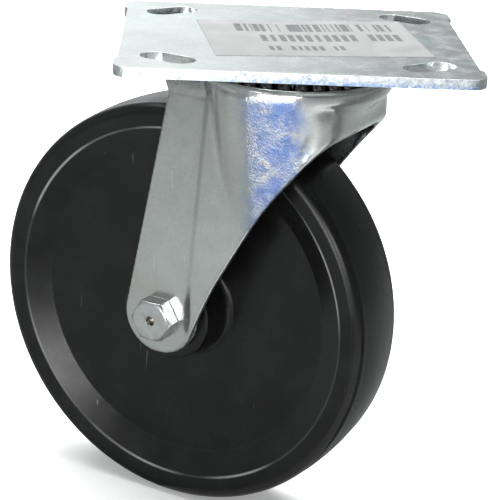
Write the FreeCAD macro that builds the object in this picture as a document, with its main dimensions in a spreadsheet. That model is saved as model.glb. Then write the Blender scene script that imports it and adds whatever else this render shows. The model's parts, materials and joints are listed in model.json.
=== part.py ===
import FreeCAD, Part
import math
import os
import Sketcher

# Swivel gate wheel: a slotted top plate, a pressed steel fork that turns under it on two
# rings of balls, and a moulded wheel on a through bolt with a roller bearing.
# Millimetres. Origin: centre of the plate's top face. +Z up, X along the plate's long side.

doc = FreeCAD.newDocument("gate_wheel")
sheet = doc.addObject("Spreadsheet::Sheet", "Sizes")

SIZES = [
    # name, value, meaning
    ("plate_length", 118.4, "top plate, long side over the corner ears"),
    ("plate_width", 101.6, "top plate, short side"),
    ("plate_sheet", 3.4, "top plate, sheet thickness"),
    ("plate_corner", 6.0, "radius of the plate's corners"),
    ("end_shear", 1.1, "how far the plate's ends are sheared back between the corner ears"),
    ("ear_length", 12.5, "length of a corner ear along the plate's end"),
    ("slot_outer_x", 46.04, "bolt slot, outer end arc, from centre along the long side"),
    ("slot_outer_y", 33.34, "bolt slot, outer end arc, from centre along the short side"),
    ("slot_inner_x", 38.1, "bolt slot, inner end arc, from centre along the long side"),
    ("slot_inner_y", 38.1, "bolt slot, inner end arc, from centre along the short side"),
    ("slot_width", 10.0, "bolt slot, width"),
    ("boss_wall", 2.2, "boss under the plate, wall outside the middle of the ball groove"),
    ("boss_step", 0.5, "boss face below the balls' centres, and flat inside their groove"),
    ("recess_rim", 24.9, "recess in the plate's top, radius of its edge"),
    ("recess_floor_radius", 22.9, "recess in the plate's top, radius of its floor"),
    ("kingpin_radius", 4.7625, "kingpin shank"),
    ("kingpin_head_radius", 9.5, "kingpin head"),
    ("kingpin_head_height", 4.4, "kingpin head, crown to seat"),
    ("kingpin_tail_radius", 7.6, "kingpin, upset end"),
    ("kingpin_tail_height", 3.6, "kingpin, upset end, height"),
    ("upper_ball_radius", 2.778, "upper ring of balls, ball radius"),
    ("upper_ring_radius", 29.5, "upper ring of balls, pitch radius"),
    ("upper_ring_drop", 11.0, "upper ring of balls, centre below the plate's top"),
    ("lower_ball_radius", 2.381, "lower ring of balls, ball radius"),
    ("lower_ring_radius", 21.0, "lower ring of balls, pitch radius"),
    ("race_hub_sheet", 2.6, "lower race, thickness of its hub under the kingpin's boss"),
    ("race_hub_gap", 5.5, "lower race, from the crown's hole in to the top of its hub"),
    ("race_wall_gap", 2.2, "lower race, from the crown's hole in to the foot of its hub"),
    ("race_sheet", 2.2, "lower race, thickness under the balls"),
    ("race_rim_gap", 0.7, "lower race, from its rim up to the crown"),
    ("race_rim_width", 1.2, "lower race, width of its rim"),
    ("race_land", 0.3, "lower race, flat outside the ball groove"),
    ("race_edge", 1.4, "lower race, bevel where the hub meets the floor"),
    ("race_clearance", 0.1, "running clearance between a ball and its grooves"),
    ("ball_spacing", 0.05, "smallest gap between balls in a ring"),
    ("crown_radius", 34.8, "fork crown, outer radius"),
    ("rim_gap", 6.6, "gap between the plate's underside and the crown's rim"),
    ("rim_rounding", 1.9, "crown rim, rounding of its outer edge"),
    ("crown_band", 1.2, "height of the crown's upright band below the top of its web"),
    ("crown_cup_play", 0.1, "crown rim's bore outside the ball groove"),
    ("crown_hole", 17.0, "hole in the middle of the crown"),
    ("bulge_drop", 70.0, "depth below the plate's top where the round crown has run out into the legs"),
    ("bulge_rear", 22.5, "rear end of the crown's bulges in the legs, behind the swivel axis"),
    ("fork_sheet", 3.0, "fork, sheet thickness"),
    ("leg_gap", 44.0, "gap between the fork's legs at the axle"),
    ("joggle_step", 1.2, "how far the legs stand out behind their crease"),
    ("crease_front", 24.5, "crease in the legs, front edge, forward of the swivel axis"),
    ("crease_width", 3.0, "crease in the legs, width"),
    ("rear_wall", 28.4, "outside of the fork's rear wall, behind the swivel axis"),
    ("rear_corner", 10.0, "outside radius of the fork's rear corners"),
    ("crown_bend", 6.0, "outside radius of the bend from crown to legs"),
    ("rear_wall_drop", 26.5, "lower edge of the rear wall below the plate's top"),
    ("front_lip", 38.2, "front edge of the crown, forward of the swivel axis"),
    ("lip_depth", 5.6, "depth of the crown's front edge at the legs, down to the notch"),
    ("tip_radius", 14.3, "round lower end of the legs"),
    ("lead_angle", 10.7, "slope of the legs' front edge from upright, degrees"),
    ("trail_angle", 20.0, "angle below the axle where the legs' rear edge leaves the round end"),
    ("trail_radius", 237.0, "hollow curve of the legs' rear edge"),
    ("swivel_angle", 149.2, "direction of the fork's lead at rest, degrees from +X"),
    ("axle_offset", 35.5, "axle, forward of the swivel axis"),
    ("axle_drop", 102.8, "axle below the plate's top"),
    ("axle_radius", 4.7625, "axle bolt shank"),
    ("axle_clearance", 0.2, "radial clearance of the axle bolt in the fork"),
    ("hex_flats", 14.29, "axle bolt and nut, across flats"),
    ("bolt_head_height", 5.9, "axle bolt head"),
    ("head_dimple_radius", 1.6, "dimple in the axle bolt's head"),
    ("head_dimple_depth", 0.9, "dimple in the axle bolt's head, depth"),
    ("hex_chamfer_radius", 6.8, "axle bolt and nut, radius where the corner chamfer starts"),
    ("bolt_end_chamfer", 0.8, "axle bolt, chamfer of its end"),
    ("nut_height", 6.6, "axle nut, hexagon"),
    ("nut_collar_height", 2.6, "axle nut, round collar"),
    ("nut_collar_radius", 6.6, "axle nut, round collar"),
    ("nut_collar_rounding", 0.7, "axle nut, bevel of its collar"),
    ("nut_thread_relief", 0.6, "axle nut, clearance of its collar round the bolt"),
    ("ring_width", 1.1, "locking ring, width of its section"),
    ("ring_height", 2.0, "locking ring in the nut's collar"),
    ("bolt_end_length", 1.6, "axle bolt, end beyond the nut"),
    ("sleeve_radius", 7.94, "spanner sleeve, outside"),
    ("sleeve_clearance", 0.15, "radial clearance of the sleeve on the bolt"),
    ("washer_thickness", 1.2, "thrust washer, thickness"),
    ("washer_radius", 14.0, "thrust washer, outside radius"),
    ("washer_clearance", 0.1, "gap from leg to thrust washer, and radial clearance on the sleeve"),
    ("hub_length", 41.0, "wheel hub, length"),
    ("roller_radius", 1.93, "bearing roller"),
    ("roller_count", 10, "bearing rollers"),
    ("roller_clearance", 0.03, "radial clearance of a roller on the sleeve and in the bore"),
    ("roller_end_play", 0.1, "gap at each end of a roller in its window"),
    ("cage_wall", 2.6, "roller cage, wall"),
    ("cage_end", 1.8, "roller cage, end ring length"),
    ("cage_gap", 0.3, "gap from the roller cage to the washers"),
    ("window_clearance", 0.08, "clearance of a roller at each side of its window"),
    ("wheel_radius", 76.2, "wheel, tread radius at the middle"),
    ("wheel_width", 31.75, "wheel, width over the rim"),
    ("tread_fall", 0.7, "fall of the tread from the middle to the shoulders"),
    ("shoulder_radius", 4.3, "wheel, shoulder rounding"),
    ("rim_lip_radius", 67.1, "inner edge of the flat rim side"),
    ("rim_lip_inset", 1.5, "rim side at its inner edge, in from the wheel's width"),
    ("web_ring_radius", 57.9, "outer edge of the web"),
    ("web_ring_half", 9.8, "half thickness of the web at its outer edge"),
    ("web_hub_half", 7.4, "half thickness of the web at the hub"),
    ("hub_radius", 17.6, "wheel hub, outside radius at its ends"),
    ("hub_base_radius", 18.8, "wheel hub, outside radius at the web"),
    ("lip_rounding", 0.9, "wheel, rounding of the rim side's inner edge"),
    ("web_ring_rounding", 3.0, "wheel, rounding between rim and web"),
    ("hub_base_rounding", 2.5, "wheel, rounding between web and hub"),
    ("hub_end_rounding", 1.0, "wheel, rounding of the hub's ends"),
]

for row, (name, value, meaning) in enumerate(SIZES, start=1):
    sheet.set("A%d" % row, meaning)
    sheet.set("B%d" % row, str(value))
    sheet.setAlias("B%d" % row, name)
doc.recompute()


def size(name):
    """Value of one cell of the sheet."""
    return float(getattr(sheet, name))


def bind(text):
    """Turn bare size names in an expression into references to the sheet."""
    names = sorted((row[0] for row in SIZES), key=len, reverse=True)
    out, i = "", 0
    while i < len(text):
        hit = next((n for n in names if text.startswith(n, i)), None)
        out += "Sizes." + hit if hit else text[i]
        i += len(hit) if hit else 1
    return out


def value_of(text):
    """Number that an expression over the sheet's sizes gives now."""
    result = sheet.evalExpression(bind(text))
    return float(getattr(result, "Value", result))


def body(name):
    """New PartDesign body that carries its node's name."""
    new = doc.addObject("PartDesign::Body", name)
    new.Label = name
    return new


def origin_plane(owner, role):
    return next(f for f in owner.Origin.OriginFeatures if f.Role == role)


def empty_sketch(owner, name, role, height=None):
    """Sketch on one of the body's own origin planes, raised by an expression if given."""
    sketch = owner.newObject("Sketcher::SketchObject", name)
    sketch.AttachmentSupport = [(origin_plane(owner, role), "")]
    sketch.MapMode = "FlatFace"
    if height:
        sketch.setExpression("AttachmentOffset.Base.z", bind(height))
    return sketch


HALF_ROUND = "half round"


def arc_between(start, end, radius, turn):
    """Arc from start to end that turns left (turn 1) or right (turn -1), the short way."""
    chord = end - start
    middle = (start + end) * 0.5
    side = FreeCAD.Vector(-chord.y, chord.x, 0).normalize() * turn
    rise = math.sqrt(max(radius * radius - chord.Length ** 2 / 4, 0.0))
    centre = middle + side * rise
    first, last = (start, end) if turn > 0 else (end, start)
    a0 = math.atan2(first.y - centre.y, first.x - centre.x)
    a1 = math.atan2(last.y - centre.y, last.x - centre.x)
    circle = Part.Circle(centre, FreeCAD.Vector(0, 0, 1), radius)
    return Part.ArcOfCircle(circle, a0, a1 if a1 > a0 else a1 + 2 * math.pi)


def outline(sketch, corners):
    """Closed outline. A corner is (x, y) and a line follows, or (x, y, radius, turn) and an arc
    follows. The radius HALF_ROUND makes a half circle that the line before it runs into."""
    points = [FreeCAD.Vector(value_of(c[0]), value_of(c[1]), 0) for c in corners]
    first_edge = sketch.GeometryCount
    ends = []
    for i, corner in enumerate(corners):
        start, end = points[i], points[(i + 1) % len(points)]
        if len(corner) == 4:
            half_round = corner[2] == HALF_ROUND
            radius = (end - start).Length / 2 if half_round else value_of(corner[2])
            edge = arc_between(start, end, radius, corner[3])
            ends.append((1, 2) if corner[3] > 0 else (2, 1))
        else:
            edge = Part.LineSegment(start, end)
            ends.append((1, 2))
        sketch.addGeometry(edge, False)
    for i, corner in enumerate(corners):
        k = (i + 1) % len(corners)
        here, after = first_edge + i, first_edge + k
        join = "Tangent" if HALF_ROUND in corners[k] else "Coincident"
        sketch.addConstraint(Sketcher.Constraint(join, here, ends[i][1], after, ends[k][0]))
        drives = [("DistanceX", corner[0], points[i].x), ("DistanceY", corner[1], points[i].y)]
        for kind, text, now in drives:
            index = sketch.addConstraint(Sketcher.Constraint(kind, -1, 1, here, ends[i][0], now))
            sketch.setExpression("Constraints[%d]" % index, bind(text))
        if len(corner) == 4 and corner[2] != HALF_ROUND:
            index = sketch.addConstraint(Sketcher.Constraint("Radius", here, value_of(corner[2])))
            sketch.setExpression("Constraints[%d]" % index, bind(corner[2]))
    return sketch


def turned(owner, name, corners, cut=False, role="XZ_Plane", axis="V_Axis"):
    """Add or cut a turned shape. The outline's x is radius and its y is height along the axis."""
    sketch = outline(empty_sketch(owner, name + "_profile", role), corners)
    kind = "PartDesign::Groove" if cut else "PartDesign::Revolution"
    feature = owner.newObject(kind, name)
    feature.Profile = sketch
    feature.ReferenceAxis = (sketch, [axis])
    feature.Angle = 360
    doc.recompute()
    return feature


def pad(owner, name, sketch, length, reverse=False, both=False):
    feature = owner.newObject("PartDesign::Pad", name)
    feature.Profile = sketch
    feature.Reversed = reverse
    feature.Midplane = both
    feature.setExpression("Length", bind(length))
    doc.recompute()
    return feature


def pocket(owner, name, sketch, length, reverse=False, both=False):
    """Pocket that must take material away."""
    before = owner.Shape.Volume
    feature = owner.newObject("PartDesign::Pocket", name)
    feature.Profile = sketch
    feature.Reversed = reverse
    feature.Midplane = both
    feature.setExpression("Length", bind(length))
    doc.recompute()
    if owner.Shape.Volume >= before - 1e-6:
        raise RuntimeError(name + " cuts nothing")
    return feature


def fillet(owner, name, base, radius, wanted):
    """Fillet of the edges of a feature that wanted() picks."""
    edges = ["Edge%d" % (i + 1) for i, e in enumerate(base.Shape.Edges) if wanted(e)]
    feature = owner.newObject("PartDesign::Fillet", name)
    feature.Base = (base, edges)
    feature.setExpression("Radius", bind(radius))
    doc.recompute()
    return feature


def rim_edge(radius, height):
    """Picker for the circle edges of a turned shape at this radius and height."""
    want_r, want_z = value_of(radius), value_of(height)

    def wanted(edge):
        curve = edge.Curve
        return (
            isinstance(curve, Part.Circle)
            and abs(curve.Radius - want_r) < 1e-4
            and abs(curve.Center.z - want_z) < 1e-4
        )

    return wanted


NODES = []


def node(item):
    NODES.append(item)
    return item


# ---------------------------------------------------------------- swivel head levels
# The upper balls run in a corner groove round the plate's boss and in the crown's cup.
# The lower balls run between the crown's underside and the lower race.
UPPER_GROOVE = "(upper_ball_radius + race_clearance)"
LOWER_GROOVE = "(lower_ball_radius + race_clearance)"
RING = "upper_ring_radius"
CUP_FLOOR = "(-upper_ring_drop - " + UPPER_GROOVE + " * cos(5 deg))"
CROWN_UNDER = "(" + CUP_FLOOR + " - fork_sheet)"
LOWER_Z = "(" + CROWN_UNDER + " - lower_ball_radius * 0.55)"
BOSS_FACE = "(-upper_ring_drop - boss_step)"
ABOVE = "plate_sheet"  # a cut that starts clear above the plate


def on_ring(radius, height, reach, angle):
    """Point on a groove's circle at an angle in degrees, as two expressions."""
    return (
        "%s + %s * cos(%s deg)" % (radius, reach, angle),
        "%s + %s * sin(%s deg)" % (height, reach, angle),
    )


# ---------------------------------------------------------------- top plate
# Pressed from sheet: corner ears left by the shear, four diagonal bolt slots, and a boss
# pressed down in the middle with the inner groove for the upper balls round it.
plate = node(body("top_plate"))
half_x, half_y = "plate_length / 2", "plate_width / 2"
shear_x = "(plate_length / 2 - end_shear)"
ear_y = "(plate_width / 2 - ear_length)"
plate_corners = []
for sx, sy in ((1, -1), (1, 1), (-1, 1), (-1, -1)):
    ear = [
        ("%d * %s" % (sx, shear_x), "%d * (%s - end_shear)" % (sy, ear_y)),
        ("%d * %s" % (sx, half_x), "%d * %s" % (sy, ear_y)),
        ("%d * %s" % (sx, half_x), "%d * (%s - plate_corner)" % (sy, half_y), "plate_corner", 1),
        ("%d * (%s - plate_corner)" % (sx, half_x), "%d * %s" % (sy, half_y)),
    ]
    if sx * sy < 0:
        ear = [ear[3], ear[2], ear[1], ear[0]]
        ear[0] = ear[0] + ("plate_corner", 1)
        ear[1] = ear[1][:2]
    plate_corners += ear
plate_outline = outline(empty_sketch(plate, "plate_outline", "XY_Plane"), plate_corners)
pad(plate, "plate_pad", plate_outline, "plate_sheet", reverse=True)
boss_top = "(-plate_sheet / 2)"
turned(plate, "boss", [
    ("0", boss_top),
    (RING + " + boss_wall", boss_top),
    (RING + " + boss_wall", "-plate_sheet"),
    on_ring(RING, "-upper_ring_drop", UPPER_GROOVE, 82) + (UPPER_GROOVE, 1),
    on_ring(RING, "-upper_ring_drop", UPPER_GROOVE, 176),
    (RING + " - " + UPPER_GROOVE + " - boss_step", BOSS_FACE),
    ("0", BOSS_FACE),
])
recess_floor = "(" + BOSS_FACE + " + plate_sheet)"
turned(plate, "recess", [
    ("0", ABOVE),
    ("recess_rim", ABOVE),
    ("recess_rim", "0"),
    ("recess_floor_radius", recess_floor),
    ("0", recess_floor),
], cut=True)
turned(plate, "kingpin_hole", [
    ("0", ABOVE),
    ("kingpin_radius", ABOVE),
    ("kingpin_radius", BOSS_FACE + " - plate_sheet"),
    ("0", BOSS_FACE + " - plate_sheet"),
], cut=True)
slot_sketch = empty_sketch(plate, "bolt_slots", "XY_Plane")
slot_run = "sqrt((slot_outer_x - slot_inner_x)^2 + (slot_inner_y - slot_outer_y)^2)"
cross_x = "((slot_inner_y - slot_outer_y) / %s * slot_width / 2)" % slot_run
cross_y = "((slot_outer_x - slot_inner_x) / %s * slot_width / 2)" % slot_run
for sx, sy in ((1, 1), (-1, 1), (-1, -1), (1, -1)):
    turn = sx * sy
    outline(slot_sketch, [
        ("%d * (slot_outer_x - %s)" % (sx, cross_x), "%d * (slot_outer_y - %s)" % (sy, cross_y),
         HALF_ROUND, turn),
        ("%d * (slot_outer_x + %s)" % (sx, cross_x), "%d * (slot_outer_y + %s)" % (sy, cross_y)),
        ("%d * (slot_inner_x + %s)" % (sx, cross_x), "%d * (slot_inner_y + %s)" % (sy, cross_y),
         HALF_ROUND, turn),
        ("%d * (slot_inner_x - %s)" % (sx, cross_x), "%d * (slot_inner_y - %s)" % (sy, cross_y)),
    ])
pocket(plate, "slots", slot_sketch, "plate_sheet * 3", both=True)

# ---------------------------------------------------------------- kingpin
# Cold headed rivet: its head sits in the plate's recess, its end is upset under the lower race.
kingpin = node(body("kingpin"))
race_hub_under = "(" + BOSS_FACE + " - race_hub_sheet)"
turned(kingpin, "kingpin_turned", [
    ("0", recess_floor + " + kingpin_head_height"),
    ("kingpin_head_radius * 0.55", recess_floor + " + kingpin_head_height"),
    ("kingpin_head_radius", recess_floor + " + kingpin_head_height * 0.45"),
    ("kingpin_head_radius", recess_floor),
    ("kingpin_radius", recess_floor),
    ("kingpin_radius", race_hub_under),
    ("kingpin_tail_radius", race_hub_under),
    ("kingpin_tail_radius * 0.85", race_hub_under + " - kingpin_tail_height * 0.75"),
    ("kingpin_tail_radius * 0.4", race_hub_under + " - kingpin_tail_height"),
    ("0", race_hub_under + " - kingpin_tail_height"),
])

# ---------------------------------------------------------------- lower race
# Pressed dish: its hub comes up through the crown's hole to the plate's boss, and its turned up
# edge holds the lower balls.
race = node(body("lower_race"))
TROUGH = "(" + LOWER_Z + " - lower_ball_radius * 0.44)"
FLOOR_UNDER = "(" + LOWER_Z + " - " + LOWER_GROOVE + " - race_sheet)"
RIM_TOP = "(" + CROWN_UNDER + " - race_rim_gap)"
RIM_BORE = "(lower_ring_radius + " + LOWER_GROOVE + " + race_land)"
turned(race, "race_turned", [
    ("kingpin_radius", BOSS_FACE),
    ("crown_hole - race_hub_gap", BOSS_FACE),
    ("crown_hole - race_wall_gap", TROUGH),
    on_ring("lower_ring_radius", LOWER_Z, LOWER_GROOVE, 205) + (LOWER_GROOVE, 1),
    on_ring("lower_ring_radius", LOWER_Z, LOWER_GROOVE, 335),
    (RIM_BORE, TROUGH),
    (RIM_BORE, RIM_TOP),
    (RIM_BORE + " + race_rim_width", RIM_TOP),
    (RIM_BORE + " + race_rim_width", TROUGH + " - race_rim_width / 2"),
    ("lower_ring_radius + " + LOWER_GROOVE, FLOOR_UNDER),
    ("crown_hole - race_wall_gap - race_edge", FLOOR_UNDER),
    ("crown_hole - race_wall_gap - race_edge * 2", FLOOR_UNDER + " + race_edge"),
    ("crown_hole - race_hub_gap - race_hub_sheet", race_hub_under),
    ("kingpin_radius", race_hub_under),
])


# ---------------------------------------------------------------- balls
def ball_ring(name, ring_radius, ball_radius, height):
    """Full ring of loose balls, each a solid of its own, in one node."""
    pitch = 2 * value_of(ball_radius) + value_of("ball_spacing")
    count = int(math.pi / math.asin(pitch / 2 / value_of(ring_radius)))
    balls = []
    for i in range(count):
        angle = 2 * math.pi * i / count
        x = value_of(ring_radius) * math.cos(angle)
        y = value_of(ring_radius) * math.sin(angle)
        centre = FreeCAD.Vector(x, y, value_of(height))
        balls.append(Part.makeSphere(value_of(ball_radius), centre))
    feature = doc.addObject("Part::Feature", name)
    feature.Label = name
    feature.Shape = Part.makeCompound(balls)
    return node(feature)


ball_ring("upper_balls", "upper_ring_radius", "upper_ball_radius", "-upper_ring_drop")
ball_ring("lower_balls", "lower_ring_radius", "lower_ball_radius", LOWER_Z)

# ---------------------------------------------------------------- fork
# Pressed steel: a round crown runs out into two legs and a short rear wall. The shell is an
# outer form less the same form set in by the sheet, trimmed to the side outline.
# Fork frame: X forward to the axle, Y to the bolt head's side, Z up; it is turned at the end.
RIM_TOP_Z = "(-plate_sheet - rim_gap)"
DEEP = "(-axle_drop - 2 * tip_radius)"


def fork_form(name, inset):
    """Solid form of the fork, every wall set in by the given expression."""
    front, rear = "(axle_offset + 2 * tip_radius)", "(rear_wall - %s)" % inset
    narrow = "(leg_gap / 2 + fork_sheet - %s)" % inset
    wide = "(leg_gap / 2 + fork_sheet + joggle_step - %s)" % inset
    corner = "(rear_corner - %s)" % inset
    crown = "(crown_radius - %s)" % inset
    level = "(%s - %s)" % (CUP_FLOOR, inset)
    band_foot = "(%s - crown_band)" % level
    crease_rear = "(crease_front - crease_width)"

    box = body(name + "_legs")
    plan = outline(empty_sketch(box, name + "_plan", "XY_Plane", level), [
        (front, "-" + narrow),
        (front, narrow),
        ("crease_front", narrow),
        (crease_rear, wide),
        ("-%s + %s" % (rear, corner), wide, corner, 1),
        ("-%s" % rear, "%s - %s" % (wide, corner)),
        ("-%s" % rear, "-%s + %s" % (wide, corner), corner, 1),
        ("-%s + %s" % (rear, corner), "-%s" % wide),
        (crease_rear, "-%s" % wide),
        ("crease_front", "-%s" % narrow),
    ])
    legs = pad(box, name + "_legs_pad", plan, "%s - %s" % (level, DEEP), reverse=True)
    top, end = value_of(level), value_of(front)

    def bend(edge):
        box = edge.BoundBox
        flat = abs(box.ZMin - top) < 1e-4 and abs(box.ZMax - top) < 1e-4
        return flat and box.XMin < end - 1e-3

    fillet(box, name + "_bend", legs, "crown_bend - " + inset, bend)

    # Below its band the crown is tucked in at 45 degrees. Set in square to that slope, the
    # slope rises by the inset times sqrt(2).
    slope_top = "min(crown_radius; crown_radius + crown_band / 2 - %s * (1 + sqrt(2)))" % inset
    slope = "(%s - crown_band - crown_radius + %s * sqrt(2))" % (CUP_FLOOR, inset)
    round_top = body(name + "_round_top")
    turned(round_top, name + "_round_top_turned", [
        ("0", level),
        (slope_top, level),
        (slope_top, slope + " + " + slope_top),
        (narrow, slope + " + " + narrow),
        ("0", slope + " + " + narrow),
    ])

    bulge = body(name + "_bulge")
    turned(bulge, name + "_bulge_turned", [
        ("0", level),
        (crown, level),
        (crown, band_foot),
        (narrow, "-bulge_drop"),
        ("0", "-bulge_drop"),
    ])
    behind = outline(empty_sketch(bulge, name + "_bulge_end", "XY_Plane"), [
        ("-bulge_rear", "-2 * crown_radius"),
        ("-bulge_rear", "2 * crown_radius"),
        ("-2 * crown_radius", "2 * crown_radius"),
        ("-2 * crown_radius", "-2 * crown_radius"),
    ])
    pocket(bulge, name + "_bulge_cut", behind, "4 * bulge_drop", both=True)

    form = doc.addObject("Part::MultiFuse", name)
    form.Shapes = [box, round_top, bulge]
    doc.recompute()
    return form


outer = fork_form("fork_outer_form", "0")
inner = fork_form("fork_inner_form", "fork_sheet")

shell = doc.addObject("Part::Cut", "fork_shell")
shell.Base = outer
shell.Tool = inner

tip_x, tip_z = "axle_offset", "-axle_drop"
lead_z = "(%s + tip_radius * sin(lead_angle * 1 deg))" % tip_z
lead_x = "(%s + tip_radius * cos(lead_angle * 1 deg))" % tip_x
notch_z = "(" + CUP_FLOOR + " - lip_depth)"
notch_x = "(%s - (%s - %s) * tan(lead_angle * 1 deg))" % (lead_x, notch_z, lead_z)
side_form = body("fork_side_form")
side = outline(empty_sketch(side_form, "fork_side", "XZ_Plane"), [
    (tip_x + " - tip_radius * cos(trail_angle * 1 deg)", tip_z + " - tip_radius * sin(trail_angle * 1 deg)",
     "tip_radius", 1),
    (lead_x, lead_z),
    (notch_x, notch_z),
    ("front_lip", CUP_FLOOR),
    ("front_lip", "0"),
    ("-crown_radius * 1.3", "0"),
    ("-crown_radius * 1.3", "-rear_wall_drop"),
    ("-rear_wall", "-rear_wall_drop", "trail_radius", -1),
])
pad(side_form, "fork_side_pad", side, "crown_radius * 4", both=True)
trimmed = doc.addObject("Part::Common", "fork_trimmed")
trimmed.Base = shell
trimmed.Tool = side_form

rim = body("crown_rim")
groove_low = on_ring(RING, "-upper_ring_drop", UPPER_GROOVE, -85)
turned(rim, "crown_rim_turned", [
    groove_low + (UPPER_GROOVE, 1),
    on_ring(RING, "-upper_ring_drop", UPPER_GROOVE, 5),
    (RING + " + " + UPPER_GROOVE + " + crown_cup_play", RIM_TOP_Z),
    ("crown_radius - rim_rounding", RIM_TOP_Z, "rim_rounding", -1),
    ("crown_radius", RIM_TOP_Z + " - rim_rounding"),
    ("crown_radius", CUP_FLOOR + " - fork_sheet / 2"),
    (groove_low[0], CUP_FLOOR + " - fork_sheet / 2"),
])
joined = doc.addObject("Part::Fuse", "fork_joined")
joined.Base = trimmed
joined.Tool = rim


def cylinder(name, radius, length, place):
    """Plain cylinder whose sizes and placement are bound to the sheet."""
    new = doc.addObject("Part::Cylinder", name)
    new.setExpression("Radius", bind(radius))
    new.setExpression("Height", bind(length))
    new.setExpression("Placement", bind(place))
    return new


def cut(name, base, tool):
    new = doc.addObject("Part::Cut", name)
    new.Base = base
    new.Tool = tool
    return new


IN_FORK = "placement(vector(axle_offset; 0; -axle_drop); rotation(vector(1; 0; 0); -90 deg))"
ON_SWIVEL = "placement(vector(0; 0; 0); rotation(vector(0; 0; 1); swivel_angle * 1 deg))"
ON_AXLE = ON_SWIVEL + " * " + IN_FORK

hole = cylinder("crown_hole_tool", "crown_hole", "crown_radius",
                "placement(vector(0; 0; -crown_radius); rotation(vector(0; 0; 1); 0 deg))")
bored = cut("fork_bored", joined, hole)
groove = doc.addObject("Part::Torus", "lower_groove_tool")
groove.setExpression("Radius1", bind("lower_ring_radius"))
groove.setExpression("Radius2", bind(LOWER_GROOVE))
groove.setExpression("Placement.Base.z", bind(LOWER_Z))
grooved = cut("fork_grooved", bored, groove)
drill = cylinder(
    "axle_hole_tool", "axle_radius + axle_clearance", "crown_radius * 4",
    IN_FORK + " * placement(vector(0; 0; -crown_radius * 2); rotation(vector(0; 0; 1); 0 deg))",
)
fork = node(cut("fork", grooved, drill))
fork.Label = "fork"
fork.setExpression("Placement", bind(ON_SWIVEL))

# ---------------------------------------------------------------- axle bolt and nut
# Axle frame: Z along the axle towards the bolt's head, zero at the middle of the wheel.
LEG_FACE = "(leg_gap / 2 + fork_sheet)"
HEAD_TOP = "(" + LEG_FACE + " + bolt_head_height)"
NUT_FACE = "(-" + LEG_FACE + " - nut_height)"
COLLAR_END = "(" + NUT_FACE + " - nut_collar_height)"


def hexagon(owner, name, height, length, reverse=False):
    """Hexagon of the bolt's and nut's size, padded from a height along the axle."""
    sketch = empty_sketch(owner, name + "_outline", "XY_Plane", height)
    reach = "hex_flats / 2 / cos(30 deg)"
    outline(sketch, [
        ("%s * cos(%d deg)" % (reach, 60 * i), "%s * sin(%d deg)" % (reach, 60 * i)) for i in range(6)
    ])
    return pad(owner, name, sketch, length, reverse=reverse)


def corner_chamfer(owner, name, face, outward):
    """Cut the hexagon's corners to 30 degrees at one face."""
    reach = "hex_flats / 4"
    turned(owner, name, [
        ("hex_chamfer_radius", "%s + %d * 0.1 * hex_flats" % (face, outward)),
        ("hex_chamfer_radius + " + reach, "%s + %d * 0.1 * hex_flats" % (face, outward)),
        ("hex_chamfer_radius + " + reach, "%s - %d * %s * tan(30 deg)" % (face, outward, reach)),
        ("hex_chamfer_radius", face),
    ], cut=True)


bolt = node(body("axle_bolt"))
hexagon(bolt, "bolt_head", LEG_FACE, "bolt_head_height")
corner_chamfer(bolt, "bolt_head_chamfer", HEAD_TOP, 1)
turned(bolt, "bolt_dimple", [
    ("0", HEAD_TOP + " + head_dimple_depth"),
    ("head_dimple_radius", HEAD_TOP + " + head_dimple_depth"),
    ("head_dimple_radius", HEAD_TOP + " - head_dimple_depth * 0.6"),
    ("head_dimple_radius * 0.5", HEAD_TOP + " - head_dimple_depth"),
    ("0", HEAD_TOP + " - head_dimple_depth"),
], cut=True)
bolt_end = "(" + COLLAR_END + " - bolt_end_length)"
in_head = "(" + LEG_FACE + " + bolt_head_height / 4)"
turned(bolt, "bolt_shank", [
    ("0", in_head),
    ("0", bolt_end),
    ("axle_radius - bolt_end_chamfer", bolt_end),
    ("axle_radius", bolt_end + " + bolt_end_chamfer"),
    ("axle_radius", in_head),
])

nut = node(body("axle_nut"))
hexagon(nut, "nut_hexagon", "-" + LEG_FACE, "nut_height", reverse=True)
corner_chamfer(nut, "nut_chamfer", NUT_FACE, -1)
in_nut = "(" + NUT_FACE + " + nut_height / 4)"
turned(nut, "nut_collar", [
    ("0", in_nut),
    ("0", COLLAR_END),
    ("nut_collar_radius - nut_collar_rounding", COLLAR_END),
    ("nut_collar_radius", COLLAR_END + " + nut_collar_rounding"),
    ("nut_collar_radius", in_nut),
])
beyond = "(" + COLLAR_END + " - bolt_end_length)"
turned(nut, "nut_bore", [
    ("0", "-leg_gap / 2"),
    ("0", beyond),
    ("axle_radius + nut_thread_relief", beyond),
    ("axle_radius + nut_thread_relief", NUT_FACE + " - ring_height"),
    ("axle_radius + ring_width", NUT_FACE + " - ring_height"),
    ("axle_radius + ring_width", NUT_FACE),
    ("axle_radius", NUT_FACE),
    ("axle_radius", "-leg_gap / 2"),
], cut=True)

ring = node(body("nut_locking_ring"))
turned(ring, "ring_turned", [
    ("axle_radius", NUT_FACE),
    ("axle_radius", NUT_FACE + " - ring_height"),
    ("axle_radius + ring_width", NUT_FACE + " - ring_height"),
    ("axle_radius + ring_width", NUT_FACE),
])

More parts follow.
